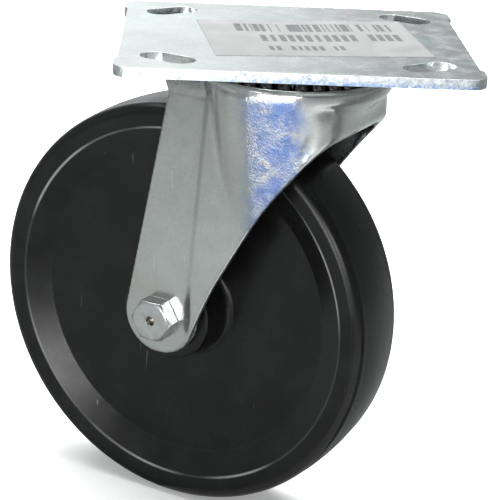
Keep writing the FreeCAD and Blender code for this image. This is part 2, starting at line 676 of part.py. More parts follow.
# ---------------------------------------------------------------- axle sleeve and washers
# The sleeve is clamped between the legs; the rollers run on it. A washer at each end keeps the
# hub off the legs.
sleeve = node(body("spanner_sleeve"))
turned(sleeve, "sleeve_turned", [
    ("axle_radius + sleeve_clearance", "-leg_gap / 2"),
    ("sleeve_radius", "-leg_gap / 2"),
    ("sleeve_radius", "leg_gap / 2"),
    ("axle_radius + sleeve_clearance", "leg_gap / 2"),
])
washers = []
for name, sign in (("near_thrust_washer", 1), ("far_thrust_washer", -1)):
    washer = node(body(name))
    outside = "%d * (leg_gap / 2 - washer_clearance)" % sign
    inside = "%d * (leg_gap / 2 - washer_clearance - washer_thickness)" % sign
    turned(washer, name + "_turned", [
        ("sleeve_radius + washer_clearance", outside),
        ("washer_radius", outside),
        ("washer_radius", inside),
        ("sleeve_radius + washer_clearance", inside),
    ])
    washers.append(washer)

# ---------------------------------------------------------------- roller bearing
ROLLER_PITCH = "(sleeve_radius + roller_clearance + roller_radius)"
CAGE_HALF = "(leg_gap / 2 - washer_clearance - washer_thickness - cage_gap)"
WINDOW_HALF = "(" + CAGE_HALF + " - cage_end)"
cage = node(body("roller_cage"))
turned(cage, "cage_turned", [
    (ROLLER_PITCH + " - cage_wall / 2", "-" + CAGE_HALF),
    (ROLLER_PITCH + " + cage_wall / 2", "-" + CAGE_HALF),
    (ROLLER_PITCH + " + cage_wall / 2", CAGE_HALF),
    (ROLLER_PITCH + " - cage_wall / 2", CAGE_HALF),
])
window_half_width = "(roller_radius + window_clearance)"
window_sketch = outline(empty_sketch(cage, "cage_window_outline", "YZ_Plane"), [
    ("-" + window_half_width, "-" + WINDOW_HALF),
    (window_half_width, "-" + WINDOW_HALF),
    (window_half_width, WINDOW_HALF),
    ("-" + window_half_width, WINDOW_HALF),
])
window = pocket(cage, "cage_window", window_sketch, ROLLER_PITCH + " + cage_wall", reverse=True)
one_window = cage.Shape.Volume
windows = cage.newObject("PartDesign::PolarPattern", "cage_windows")
windows.Originals = [window]
windows.Axis = (window_sketch, ["V_Axis"])
windows.Angle = 360
windows.setExpression("Occurrences", bind("roller_count"))
cage.Tip = windows
doc.recompute()
if cage.Shape.Volume >= one_window:
    raise RuntimeError("the cage's windows are missing")

roller_length = 2 * value_of(WINDOW_HALF + " - roller_end_play")
rollers = []
for i in range(int(size("roller_count"))):
    angle = 2 * math.pi * i / size("roller_count")
    x = value_of(ROLLER_PITCH) * math.cos(angle)
    y = value_of(ROLLER_PITCH) * math.sin(angle)
    start = FreeCAD.Vector(x, y, -roller_length / 2)
    rollers.append(Part.makeCylinder(size("roller_radius"), roller_length, start))
roller_set = doc.addObject("Part::Feature", "axle_rollers")
roller_set.Label = "axle_rollers"
roller_set.Shape = Part.makeCompound(rollers)
node(roller_set)

# ---------------------------------------------------------------- wheel
# One moulding: tread, flat sided rim, dished web and a long hub bored for the rollers.
BORE = "(" + ROLLER_PITCH + " + roller_radius + roller_clearance)"
TREAD_HALF = "(wheel_width / 2 - shoulder_radius)"
TREAD_CURVE = "(%s^2 / (2 * tread_fall) + tread_fall / 2)" % TREAD_HALF
wheel = node(body("wheel"))
near_side = [
    ("wheel_radius - tread_fall", TREAD_HALF, "shoulder_radius", 1),
    ("wheel_radius - tread_fall - shoulder_radius", "wheel_width / 2"),
    ("rim_lip_radius", "wheel_width / 2 - rim_lip_inset"),
    ("web_ring_radius", "web_ring_half"),
    ("hub_base_radius", "web_hub_half"),
    ("hub_radius", "hub_length / 2"),
    (BORE, "hub_length / 2"),
]
far_side = [(r, "-(" + y + ")") for r, y in (corner[:2] for corner in reversed(near_side))]
far_side[-2] = far_side[-2] + ("shoulder_radius", 1)
far_side[-1] = far_side[-1] + (TREAD_CURVE, 1)
smooth = turned(wheel, "wheel_turned", near_side + far_side)
for rounding, radius, height in (
    ("lip_rounding", "rim_lip_radius", "wheel_width / 2 - rim_lip_inset"),
    ("web_ring_rounding", "web_ring_radius", "web_ring_half"),
    ("hub_base_rounding", "hub_base_radius", "web_hub_half"),
    ("hub_end_rounding", "hub_radius", "hub_length / 2"),
):
    ends = [rim_edge(radius, height), rim_edge(radius, "-(" + height + ")")]
    smooth = fillet(wheel, "wheel_" + rounding, smooth, rounding, lambda e: any(end(e) for end in ends))

for item in [bolt, nut, ring, sleeve, cage, wheel] + washers:
    item.setExpression("Placement", bind(ON_AXLE))
doc.recompute()
roller_set.Placement = wheel.Placement

# ---------------------------------------------------------------- check and write
doc.recompute()
for item in doc.Objects:
    if "Invalid" in item.State or "Error" in item.State:
        raise RuntimeError(item.Label + " failed to build")
for item in NODES:
    if item.Shape.isNull() or not item.Shape.isValid():
        raise RuntimeError(item.Label + " has no valid shape")
os.makedirs("parts", exist_ok=True)
for item in NODES:
    item.Shape.exportStep("parts/%s.step" % item.Label)
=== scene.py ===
import json
import math
import random

import bmesh
import bpy
from mathutils import Matrix, Vector


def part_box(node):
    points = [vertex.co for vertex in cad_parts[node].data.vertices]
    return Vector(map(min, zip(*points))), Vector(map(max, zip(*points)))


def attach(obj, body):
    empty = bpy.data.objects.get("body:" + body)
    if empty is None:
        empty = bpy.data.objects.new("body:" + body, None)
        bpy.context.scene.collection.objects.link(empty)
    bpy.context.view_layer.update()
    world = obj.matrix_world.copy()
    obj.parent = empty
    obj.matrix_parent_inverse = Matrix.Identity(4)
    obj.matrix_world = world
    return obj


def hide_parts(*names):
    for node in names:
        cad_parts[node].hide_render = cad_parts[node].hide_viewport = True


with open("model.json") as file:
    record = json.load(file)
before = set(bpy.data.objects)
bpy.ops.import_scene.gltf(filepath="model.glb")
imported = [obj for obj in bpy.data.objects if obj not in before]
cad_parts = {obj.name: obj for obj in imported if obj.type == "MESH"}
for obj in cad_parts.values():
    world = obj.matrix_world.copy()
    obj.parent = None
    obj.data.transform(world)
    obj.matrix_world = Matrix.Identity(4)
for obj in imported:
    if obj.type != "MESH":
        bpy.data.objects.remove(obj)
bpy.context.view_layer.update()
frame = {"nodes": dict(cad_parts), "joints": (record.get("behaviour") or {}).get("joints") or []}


# ---------------------------------------------------------------- Kingpin
# Cold headed steel rivet that holds the swivel head together: its head is sunk in the plate's
# recess and its tail is upset under the lower race. Zinc plated, dull where it was peened.
MM = 0.001
KINGPIN_EDGE = 0.4 * MM
JOIN_WITHIN = 0.003 * MM
FLAT_WITHIN, SHARP_FROM = math.radians(0.4), math.radians(28)
CRYSTAL, GRAIN, FACET = 0.7 * MM, 0.45 * MM, 0.75 * MM
SCRATCH, SCRATCH_STRETCH, RUBBED_PATCH, WAVE = 0.9 * MM, 0.035, 6 * MM, 9 * MM
WAVE_DEPTH, GRAIN_DEPTH, SCRATCH_DEPTH = 0.02 * MM, 0.012 * MM, 0.004 * MM


def softened(node, radius):
    """A CAD piece with its edges rounded over, the way pressing, tumbling and plating leave them."""
    mesh = frame["nodes"][node].data.copy()
    mesh.materials.clear()
    if "custom_normal" in mesh.attributes:
        mesh.attributes.remove(mesh.attributes["custom_normal"])
    work = bmesh.new()
    work.from_mesh(mesh)
    bmesh.ops.remove_doubles(work, verts=work.verts, dist=JOIN_WITHIN)
    bmesh.ops.dissolve_limit(work, angle_limit=FLAT_WITHIN, verts=work.verts, edges=work.edges)
    sharp = [
        edge for edge in work.edges
        if len(edge.link_faces) == 2 and edge.calc_face_angle() > SHARP_FROM
    ]
    bmesh.ops.bevel(
        work, geom=sharp, offset=radius, segments=3, profile=0.5, affect="EDGES",
        clamp_overlap=True,
    )
    for face in work.faces:
        face.smooth = True
    work.to_mesh(mesh)
    work.free()
    piece = bpy.data.objects.new(node + "_finished", mesh)
    bpy.context.scene.collection.objects.link(piece)
    piece.modifiers.new("even shading", "WEIGHTED_NORMAL")
    return piece


def fit(piece, body, finish, slot, *stands_for):
    """Give a piece its finish and put it on the body that it moves with."""
    piece.data.materials.append(finish)
    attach(piece, body)
    if stands_for:
        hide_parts(*stands_for)
    return piece


class Finish:
    """One material, with a short call for each kind of node it is made from."""

    def __init__(self, name):
        self.material = bpy.data.materials.new(name)
        self.material.use_nodes = True
        self.tree = self.material.node_tree
        self.shader = self.tree.nodes["Principled BSDF"]
        self.place = self.add("TexCoord").outputs["Object"]

    def add(self, kind, inputs=None, **settings):
        """A node of this kind, with plain values or other nodes' outputs in its sockets."""
        made = self.tree.nodes.new("ShaderNode" + kind)
        for name, value in settings.items():
            setattr(made, name, value)
        for socket, value in (inputs or {}).items():
            if isinstance(value, bpy.types.NodeSocket):
                self.tree.links.new(value, made.inputs[socket])
            else:
                made.inputs[socket].default_value = value
        return made

    def turned(self, angle, stretch=(1, 1, 1)):
        """The place on the piece, turned about the upright and stretched."""
        turn = self.add("Mapping", {0: self.place, "Rotation": (0, 0, -angle)}).outputs[0]
        return self.add("Mapping", {0: turn, "Scale": stretch}).outputs[0]

    def grain(self, size, detail=3.0, rough=0.55, place=None, warp=0.0):
        """Cloudy noise whose features are about this size in metres."""
        inputs = {
            "Vector": place or self.place, "Scale": 1 / size, "Detail": detail,
            "Roughness": rough, "Distortion": warp,
        }
        return self.add("TexNoise", inputs).outputs["Fac"]

    def crystals(self, size):
        """Random shade per crystal, for crystals about this size in metres."""
        cells = self.add("TexVoronoi", {"Vector": self.place, "Scale": 1 / size})
        return self.add("SeparateColor", {0: cells.outputs["Color"]}).outputs[0]

    def scale(self, value, low, high, to_low, to_high, smooth=False):
        """The value carried over from one range to another, and held at its ends."""
        inputs = {
            "Value": value, "From Min": low, "From Max": high, "To Min": to_low, "To Max": to_high,
        }
        kind = "SMOOTHSTEP" if smooth else "LINEAR"
        return self.add("MapRange", inputs, interpolation_type=kind, clamp=True).outputs["Result"]

    def sums(self, operation, a, b=0.0):
        """One step of arithmetic."""
        return self.add("Math", {0: a, 1: b}, operation=operation).outputs[0]

    def blend(self, factor, a, b):
        """From colour a to colour b as the factor goes from 0 to 1."""
        inputs = {0: factor}
        for socket, colour in ((6, a), (7, b)):
            inputs[socket] = colour if isinstance(colour, bpy.types.NodeSocket) else (*colour, 1)
        return self.add("Mix", inputs, data_type="RGBA").outputs[2]

    def bump(self, height, depth, under=None):
        """Relief of this depth in metres where height runs from 0 to 1."""
        inputs = {"Height": height, "Distance": depth, "Strength": 1.0}
        if under:
            inputs["Normal"] = under
        return self.add("Bump", inputs).outputs[0]

    def wire(self, **sockets):
        """Set the shader's sockets: a plain value, or what a node gives."""
        for name, value in sockets.items():
            socket = self.shader.inputs[name.replace("_", " ").title().replace("Ior", "IOR")]
            if isinstance(value, bpy.types.NodeSocket):
                self.tree.links.new(value, socket)
            else:
                socket.default_value = value
        return self.material


def plated_zinc(name, light, dark, gloss, cloud=0.02, sparkle=1.0, tints=(), grit=None):
    """Bright zinc over steel: clouded, finely crystalline, rubbed and scratched in handling."""
    finish = Finish(name)
    clouds = finish.grain(cloud, detail=4, warp=0.4)
    tone = finish.blend(finish.scale(clouds, 0.35, 0.65, 0, 1), dark, light)
    tone = finish.blend(finish.scale(finish.crystals(CRYSTAL), 0, 1, 0, 0.10), tone, (1, 1, 1))
    for mask, colour in tints:
        tone = finish.blend(mask(finish), tone, colour)
    lengthwise = finish.turned(0.5, (1, SCRATCH_STRETCH, SCRATCH_STRETCH))
    scratches = finish.grain(SCRATCH, detail=2, place=lengthwise, warp=0.2)
    scratched = finish.scale(scratches, 0.70, 0.74, 0, 1)
    rubbed = finish.scale(finish.grain(RUBBED_PATCH, detail=5), 0.35, 0.7, gloss[0], gloss[1])
    rough = finish.sums("ADD", rubbed, finish.scale(scratched, 0, 1, 0, 0.14))
    wavy = finish.bump(finish.grain(WAVE, detail=1), WAVE_DEPTH)
    grainy = finish.bump(finish.grain(GRAIN, detail=2), GRAIN_DEPTH * sparkle, under=wavy)
    if grit:
        where, deep = grit[0](finish), grit[1]
        facets = finish.grain(FACET, detail=3, rough=0.6)
        grainy = finish.bump(finish.sums("MULTIPLY", facets, where), deep, under=grainy)
    relief = finish.bump(scratched, SCRATCH_DEPTH, under=grainy)
    return finish.wire(base_color=tone, metallic=1.0, roughness=rough, normal=relief)


PEENED_ZINC = plated_zinc("Peened zinc", (0.50, 0.51, 0.50), (0.33, 0.34, 0.34), (0.34, 0.5), cloud=4 * MM)
fit(softened("kingpin", KINGPIN_EDGE), "plate", PEENED_ZINC, "bolt_zinc", "kingpin")

# ---------------------------------------------------------------- Top plate
# Pressed from 3.4 mm strip: ears left by the shear at its corners, four slots punched on the
# diagonal, a boss drawn down in the middle for the balls. Bright zinc with a faint bloom.
PLATE_EDGE = 0.45 * MM
SHEAR_REACH = 1.6 * MM
BURR_TOP, BURR_FOOT = -1.2 * MM, -2.9 * MM
BURR_FROM, BURR_TO = -45 * MM, 5 * MM


def bloom(size, low, high, amount, turn=0.0):
    """Where the passivation on the zinc shows a colour."""
    def mask(finish):
        patches = finish.grain(size, detail=2, place=finish.turned(turn), warp=0.8)
        return finish.scale(patches, low, high, 0, amount)
    return mask


def lower_right_burr(finish):
    """Blue where the plating thins out along the burr, low on the edge and towards one end."""
    split = finish.add("SeparateXYZ", {0: finish.place})
    low = finish.scale(split.outputs["Z"], BURR_FOOT, BURR_TOP, 1, 0, smooth=True)
    along = finish.scale(split.outputs["X"], BURR_FROM, BURR_TO, 0.0, 1, smooth=True)
    specks = finish.scale(finish.grain(0.9 * MM, detail=5, rough=0.7), 0.42, 0.55, 0, 0.9)
    return finish.sums("MULTIPLY", finish.sums("MULTIPLY", low, along), specks)


PLATE_ZINC = plated_zinc(
    "Plate zinc", (0.74, 0.77, 0.765), (0.60, 0.63, 0.625), (0.20, 0.34), cloud=30 * MM,
    tints=(
        (bloom(26 * MM, 0.55, 0.75, 0.45), (0.50, 0.72, 0.68)),
        (bloom(31 * MM, 0.60, 0.80, 0.40, turn=1.1), (0.78, 0.62, 0.66)),
    ),
)
SHEARED_ZINC = plated_zinc(
    "Sheared zinc", (0.74, 0.77, 0.78), (0.40, 0.44, 0.48), (0.22, 0.38),
    cloud=1.5 * MM, sparkle=9.0, tints=((lower_right_burr, (0.16, 0.32, 0.58)),),
)
plate = softened("top_plate", PLATE_EDGE)
fit(plate, "plate", PLATE_ZINC, "zinc_plate", "top_plate")
plate.data.materials.append(SHEARED_ZINC)
plate_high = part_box("top_plate")[1]
for face in plate.data.polygons:
    past_x = abs(face.center.x) > plate_high.x - SHEAR_REACH
    past_y = abs(face.center.y) > plate_high.y - SHEAR_REACH
    if (past_x or past_y) and abs(face.normal.z) < 0.5:
        face.material_index = 1

# ---------------------------------------------------------------- Stock label
# Thin grey film stuck over the plate's recess, a little askew, so that it dips into the hole.
# It is printed with plain bars and dashes only.
LABEL_WIDTH, LABEL_DEPTH = 73 * MM, 53 * MM
LABEL_CORNER = Vector((-26.7 * MM, -30.7 * MM, 0))
LABEL_TURN = math.radians(7)
LABEL_CELL = 0.5 * MM
LABEL_LIFT, LABEL_SAG, SAG_SHAPE = 0.08 * MM, 0.45 * MM, 0.6
FILM_THICKNESS = 0.06 * MM
RECESS_RADIUS = 24.9 * MM
BAR_WIDTH, BAR_SHARE = 0.75 * MM, 0.52
DASH_STEP, SMALL_STEP, DASH_SHARE = 3.1 * MM, 2.4 * MM, 0.80
FIRST_SMALL_DASH = 7

pattern = random.Random(5)
bars = [pattern.random() < BAR_SHARE for _ in range(200)]
dashes = [pattern.random() < DASH_SHARE for _ in range(60)]


def printed(across, up):
    """True where the label carries ink, at fractions of its width and depth."""
    if 0.16 < across < 0.93 and 0.70 < up < 0.90:
        return bars[int(across * LABEL_WIDTH / BAR_WIDTH)]
    if 0.26 < across < 0.94 and 0.42 < up < 0.60:
        step = across * LABEL_WIDTH / DASH_STEP
        return dashes[int(step)] and 0.18 < step % 1 < 0.82
    if 0.26 < across < 0.62 and 0.17 < up < 0.29:
        step = across * LABEL_WIDTH / SMALL_STEP
        return dashes[int(step) + FIRST_SMALL_DASH] and 0.2 < step % 1 < 0.8
    return False


columns, rows = round(LABEL_WIDTH / LABEL_CELL), round(LABEL_DEPTH / LABEL_CELL)
turn = Matrix.Rotation(LABEL_TURN, 3, "Z")
work = bmesh.new()
grid = []
for j in range(rows + 1):
    line = []
    for i in range(columns + 1):
        place = LABEL_CORNER + turn @ Vector((i * LABEL_CELL, j * LABEL_CELL, 0))
        inside = max(0.0, 1 - (place.length / RECESS_RADIUS) ** 2)
        place.z = LABEL_LIFT - LABEL_SAG * inside ** SAG_SHAPE
        line.append(work.verts.new(place))
    grid.append(line)
for j in range(rows):
    for i in range(columns):
        face = work.faces.new((grid[j][i], grid[j][i + 1], grid[j + 1][i + 1], grid[j + 1][i]))
        face.smooth = True
        face.material_index = int(printed((i + 0.5) / columns, (j + 0.5) / rows))
mesh = bpy.data.meshes.new("stock_label")
work.to_mesh(mesh)
work.free()
label = bpy.data.objects.new("stock_label", mesh)
bpy.context.scene.collection.objects.link(label)
film = label.modifiers.new("film", "SOLIDIFY")
film.thickness, film.offset = FILM_THICKNESS, -1

paper = Finish("Label film")
worn = paper.grain(11 * MM, detail=5)
fibre = paper.grain(0.6 * MM, detail=3)
grubby = paper.scale(worn, 0.35, 0.7, 0, 1)
LABEL_FILM = paper.wire(
    base_color=paper.blend(grubby, (0.27, 0.28, 0.275), (0.335, 0.345, 0.34)),
    roughness=paper.scale(worn, 0.3, 0.7, 0.34, 0.55),
    normal=paper.bump(fibre, 0.01 * MM, under=paper.bump(worn, 0.12 * MM)),
)
ink = Finish("Label ink")
fade_and_painted_light = ink.grain(3 * MM, detail=6, rough=0.7)
rubbed_off = ink.scale(fade_and_painted_light, 0.4, 0.66, 0, 1)
LABEL_INK = ink.wire(
    base_color=ink.blend(rubbed_off, (0.095, 0.10, 0.10), (0.165, 0.17, 0.17)),
    roughness=ink.scale(fade_and_painted_light, 0.3, 0.7, 0.45, 0.62),
)
fit(label, "plate", LABEL_FILM, "zinc_plate")
label.data.materials.append(LABEL_INK)

# ---------------------------------------------------------------- Lower race
# Dished pressing under the crown that carries the lower balls on its hardened groove. Its hub
# comes up through the crown's hole to the plate's boss, where the kingpin clamps it.
RACE_EDGE = 0.35 * MM

greasy = Finish("Greased race steel")
film_of_grease = greasy.grain(5 * MM, detail=5, warp=0.6)
turning = greasy.grain(0.5 * MM, detail=1)
covered = greasy.scale(film_of_grease, 0.42, 0.62, 0, 1)
RACE_STEEL = greasy.wire(
    base_color=greasy.blend(covered, (0.42, 0.42, 0.41), (0.17, 0.15, 0.12)),
    metallic=greasy.scale(film_of_grease, 0.42, 0.62, 1.0, 0.6),
    roughness=greasy.scale(film_of_grease, 0.35, 0.7, 0.42, 0.22),
    normal=greasy.bump(turning, 0.008 * MM, under=greasy.bump(film_of_grease, 0.05 * MM)),
)
fit(softened("lower_race", RACE_EDGE), "plate", RACE_STEEL, "race_steel", "lower_race")

# ---------------------------------------------------------------- Balls
# Two full rings of hardened balls, loose between their grooves: the upper ring takes the load,
# the lower one keeps the head together. Polished, with a smear of grease; their colour is painted
# near black, as painted shade in the dark gap under the plate.
polished = Finish("Ball steel, greased and painted dark")
smear = polished.grain(1.6 * MM, detail=4, warp=0.5)
# Painted shade: the colour is near black for the shade of the gap; the grease smear only varies it.
DARKENED_BALL_STEEL = polished.wire(
    base_color=polished.blend(
        polished.scale(smear, 0.5, 0.65, 0, 1), (0.055, 0.055, 0.055), (0.02, 0.02, 0.018)
    ),
    metallic=1.0,
    roughness=polished.scale(smear, 0.45, 0.65, 0.07, 0.16),
    normal=polished.bump(smear, 0.01 * MM),
)
for ring in ("upper_balls", "lower_balls"):
    for slot in frame["nodes"][ring].material_slots:
        slot.material = DARKENED_BALL_STEEL

# ---------------------------------------------------------------- Fork
# One pressing of 3 mm steel: a round crown over the balls, bulges that run out of it into two
# legs creased along their middle, and a short rear wall. Soft bends, sheared edges, zinc plated.
spin = next(joint for joint in frame["joints"] if joint["name"] == "wheel_spin")
AXLE = Vector(spin["pos_m"])
TO_HEAD = -Vector(spin["axis"]).normalized()
LEAD = TO_HEAD.cross(Vector((0, 0, 1))).normalized()
LEAD_ANGLE = math.atan2(LEAD.y, LEAD.x)
GRAIN_OF_MESH = 0.55 * MM
BEND_PASSES, DRAWN_PASSES = 14, 110
LEG_TOP = -27 * MM
CUT_FACING = 0.35
KEEP_ROWS, EASE_ROWS = 3, 5
DRAWN_TOP, DRAWN_FULL = -14.5 * MM, -19 * MM
DRAWN_FRONT, DRAWN_ALL = 20.5 * MM, 18.5 * MM
CREASE_FOOT, CREASE_HEAD, CREASE_LEAN = -86 * MM, -12 * MM, 0.072
CREASE_REACH = ((0.0, 18 * MM), (33 * MM, 26 * MM))
BULGE_FULL, BULGE_TOP = -15 * MM, -12 * MM
OUTSIDE, SHADED_CUT, INSIDE = range(3)

work = bmesh.new()
work.from_mesh(frame["nodes"]["fork"].data)
bmesh.ops.remove_doubles(work, verts=work.verts, dist=JOIN_WITHIN)
square_on = Matrix.Rotation(-LEAD_ANGLE, 4, "Z")
bmesh.ops.transform(work, matrix=square_on, verts=work.verts)
mesh = bpy.data.meshes.new("fork_pressing")
work.to_mesh(mesh)
work.free()
if "custom_normal" in mesh.attributes:
    mesh.attributes.remove(mesh.attributes["custom_normal"])
blank = bpy.data.objects.new("fork_blank", mesh)
bpy.context.scene.collection.objects.link(blank)
press = blank.modifiers.new("press", "REMESH")
press.mode, press.voxel_size = "VOXEL", GRAIN_OF_MESH
soften = blank.modifiers.new("soft bends", "SMOOTH")
soften.factor, soften.iterations = 0.5, BEND_PASSES


def made_solid(piece):
    """The mesh that a piece's modifiers give, in place of the piece."""
    bpy.context.view_layer.update()
    evaluated = piece.evaluated_get(bpy.context.evaluated_depsgraph_get())
    mesh = bpy.data.meshes.new_from_object(evaluated)
    bpy.data.objects.remove(piece)
    return mesh


def between(value, start, end):
    """0 up to the start, 1 from the end on."""
    return min(1.0, max(0.0, (value - start) / (end - start)))


def cut_rows(mesh, reach):
    """Rows of mesh from each vertex to the nearest sheared edge of the legs, up to reach."""
    rows = [reach] * len(mesh.vertices)
    for face in mesh.polygons:
        if abs(face.normal.y) < CUT_FACING and face.center.z < LEG_TOP:
            for corner in face.vertices:
                rows[corner] = 0
    for row in range(1, reach):
        for edge in mesh.edges:
            first, second = edge.vertices
            if rows[first] == row - 1 and rows[second] > row:
                rows[second] = row
            elif rows[second] == row - 1 and rows[first] > row:
                rows[first] = row
    return rows


pressed = made_solid(blank)
pressed.materials.clear()
rows = cut_rows(pressed, KEEP_ROWS + EASE_ROWS + 1)
blank = bpy.data.objects.new("fork_blank", pressed)
bpy.context.scene.collection.objects.link(blank)
drawn = blank.vertex_groups.new(name="drawn")
for vertex, row in zip(pressed.vertices, rows):
    from_edge = between(row, KEEP_ROWS, KEEP_ROWS + EASE_ROWS)
    from_top = between(vertex.co.z, DRAWN_TOP, DRAWN_FULL)
    behind_crease = between(vertex.co.x, DRAWN_FRONT, DRAWN_ALL)
    drawn.add([vertex.index], from_edge * from_top * behind_crease, "REPLACE")
blending = blank.modifiers.new("drawn flanks", "SMOOTH")
blending.factor, blending.iterations, blending.vertex_group = 0.5, DRAWN_PASSES, "drawn"
pressed = made_solid(blank)
for vertex in pressed.vertices:
    if CREASE_FOOT < vertex.co.z < CREASE_HEAD:
        lean = CREASE_LEAN * (vertex.co.z - CREASE_FOOT)
        for end, full in CREASE_REACH:
            lean *= between(vertex.co.x, end, full)
        vertex.co.x -= lean
for face in pressed.polygons:
    face.use_smooth = True
    sheared = face.center.z < LEG_TOP and abs(face.normal.y) < CUT_FACING
    inward = face.normal.x * face.center.x + face.normal.y * face.center.y < 0
    # The cut edges on the head's side take a darker zinc: a rougher shear, and painted shade.
    face.material_index = SHADED_CUT if sheared and face.center.y > 0 else INSIDE if inward else OUTSIDE
pressed.transform(square_on.inverted())
fork = bpy.data.objects.new("fork_finished", pressed)
bpy.context.scene.collection.objects.link(fork)


def on_the_bulge(front, front_full, rear_full, rear, amount=1.0, patch=None):
    """How far a place is on the bulges, by its distance ahead of the swivel axis."""
    def mask(finish):
        parts = finish.add("SeparateXYZ", {0: finish.turned(LEAD_ANGLE)}).outputs
        rise = finish.scale(parts["X"], front_full, front, amount, 0, smooth=True)
        fall = finish.scale(parts["X"], rear, rear_full, 0, 1, smooth=True)
        below = finish.scale(parts["Z"], BULGE_FULL, BULGE_TOP, 1, 0, smooth=True)
        zone = finish.sums("MULTIPLY", finish.sums("MULTIPLY", rise, fall), below)
        if patch:
            patchy = finish.grain(patch, detail=6, rough=0.7, warp=0.5)
            zone = finish.sums("MULTIPLY", zone, finish.scale(patchy, 0.36, 0.58, 0.1, 1))
        return zone
    return mask


FORK_ZINC = plated_zinc(
    "Fork zinc", (0.45, 0.47, 0.46), (0.41, 0.425, 0.42), (0.19, 0.27), cloud=24 * MM, sparkle=1.4,
    tints=(
        (on_the_bulge(5 * MM, -7 * MM, -16 * MM, -23 * MM, 0.85, 6 * MM), (0.11, 0.19, 0.47)),
        (bloom(28 * MM, 0.56, 0.72, 0.25), (0.42, 0.40, 0.36)),
    ),
    grit=(on_the_bulge(1 * MM, -4 * MM, -15 * MM, -20 * MM), 0.42 * MM),
)
# Darker, rougher zinc for the near leg's cut edges: partly a rough shear, partly painted shade.
SHADED_CUT_ZINC = plated_zinc(
    "Cut edge zinc, painted shade", (0.36, 0.38, 0.37), (0.20, 0.21, 0.21), (0.34, 0.5), cloud=2.5 * MM, sparkle=2.2
)
# A slightly darker copy of the fork's zinc, without its tints, for the faces inside the fork: painted shade.
SHADED_INNER_ZINC = plated_zinc(
    "Inner fork zinc", (0.43, 0.45, 0.44), (0.39, 0.405, 0.40), (0.22, 0.32), cloud=24 * MM, sparkle=1.4
)
fit(fork, "fork", FORK_ZINC, "zinc_fork", "fork")
fork.data.materials.append(SHADED_CUT_ZINC)
fork.data.materials.append(SHADED_INNER_ZINC)

# ---------------------------------------------------------------- Wheel
# One moulding in hard black polyolefin: crowned tread, flat sided rim, dished web, long hub.
# It keeps a fine parting line round the tread and light rubs from handling; a painted highlight runs round
# the lip.
ON_AXLE = Matrix.Translation(AXLE) @ Matrix((LEAD, Vector((0, 0, 1)), TO_HEAD)).transposed().to_4x4()
wheel_low, wheel_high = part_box("wheel")
TREAD = (wheel_high.z - wheel_low.z) / 2
HALF_WIDTH = 15.875 * MM
HUB_END = 20.5 * MM
BORE = 11.86 * MM
SHOULDER_DROP = 0.75 * MM
LIP_RADIUS, LIP_INSET, LIP_HIGHLIGHT_RADIUS = 67.1 * MM, 1.5 * MM, 66.9 * MM
TREAD_FALL, SHOULDER_AT = 0.7 * MM, 11.6 * MM
SEAM_HEIGHT, SEAM_WIDTH = 0.008 * MM, 0.15 * MM
CROWN_STEPS, WHEEL_STEPS = 12, 240


def lofted(name, rings, place, closed=False):
    """Skin over a row of rings of points. An open row is capped at both ends."""
    work = bmesh.new()
    rows = [[work.verts.new(place @ Vector(point)) for point in ring] for ring in rings]
    joins = list(zip(rows, rows[1:])) + ([(rows[-1], rows[0])] if closed else [])
    for first, second in joins:
        for i in range(len(first)):
            k = (i + 1) % len(first)
            work.faces.new((first[i], first[k], second[k], second[i]))
    if not closed:
        work.faces.new(rows[0])
        work.faces.new(rows[-1])
    bmesh.ops.recalc_face_normals(work, faces=work.faces)
    for face in work.faces:
        face.smooth = True
    mesh = bpy.data.meshes.new(name)
    work.to_mesh(mesh)
    work.free()
    piece = bpy.data.objects.new(name, mesh)
    bpy.context.scene.collection.objects.link(piece)
    return piece


def circle(radius, along, steps):
    """Ring of points round the axis, at one distance along it."""
    turns = [math.tau * i / steps for i in range(steps)]
    return [(radius * math.cos(a), radius * math.sin(a), along) for a in turns]


def rounded(corners, steps=6):
    """Profile of (radius, along) points from corners of (radius, along, rounding)."""
    points = []
    for i, (radius, along, rounding) in enumerate(corners):
        here = Vector((radius, along))
        before = Vector(corners[i - 1][:2]) - here
        after = Vector(corners[(i + 1) % len(corners)][:2]) - here
        if rounding == 0:
            points.append(here)
            continue
        half = before.angle(after) / 2
        reach = rounding / math.tan(half)
        inward = (before.normalized() + after.normalized()).normalized()
        middle = here + inward * (rounding / math.sin(half))
        start = here + before.normalized() * reach
        end = here + after.normalized() * reach
        for k in range(steps + 1):
            ray = (start - middle).lerp(end - middle, k / steps).normalized()
            points.append(middle + ray * rounding)
    return points


side = [
    (TREAD - SHOULDER_DROP, HALF_WIDTH, 3.6 * MM),
    (LIP_RADIUS, HALF_WIDTH - LIP_INSET, 0.9 * MM),
    (57.9 * MM, 9.8 * MM, 3.0 * MM),
    (18.8 * MM, 7.4 * MM, 2.5 * MM),
    (17.6 * MM, HUB_END, 1.0 * MM),
    (BORE, HUB_END, 0.5 * MM),
]
crown = []
for step in range(CROWN_STEPS):
    share = step / CROWN_STEPS
    radius = TREAD - SEAM_HEIGHT - TREAD_FALL * share ** 2
    crown.append((radius, max(SEAM_WIDTH, SHOULDER_AT * share), 0))
near = crown + side
far = [(radius, -along, rounding) for radius, along, rounding in reversed(near)]
seam = [(TREAD, -SEAM_WIDTH / 3, 0), (TREAD, SEAM_WIDTH / 3, 0)]
profile = rounded(near + far + seam)
turned_rings = [circle(point.x, point.y, WHEEL_STEPS) for point in profile]
wheel = lofted("wheel_moulding", turned_rings, ON_AXLE, closed=True)

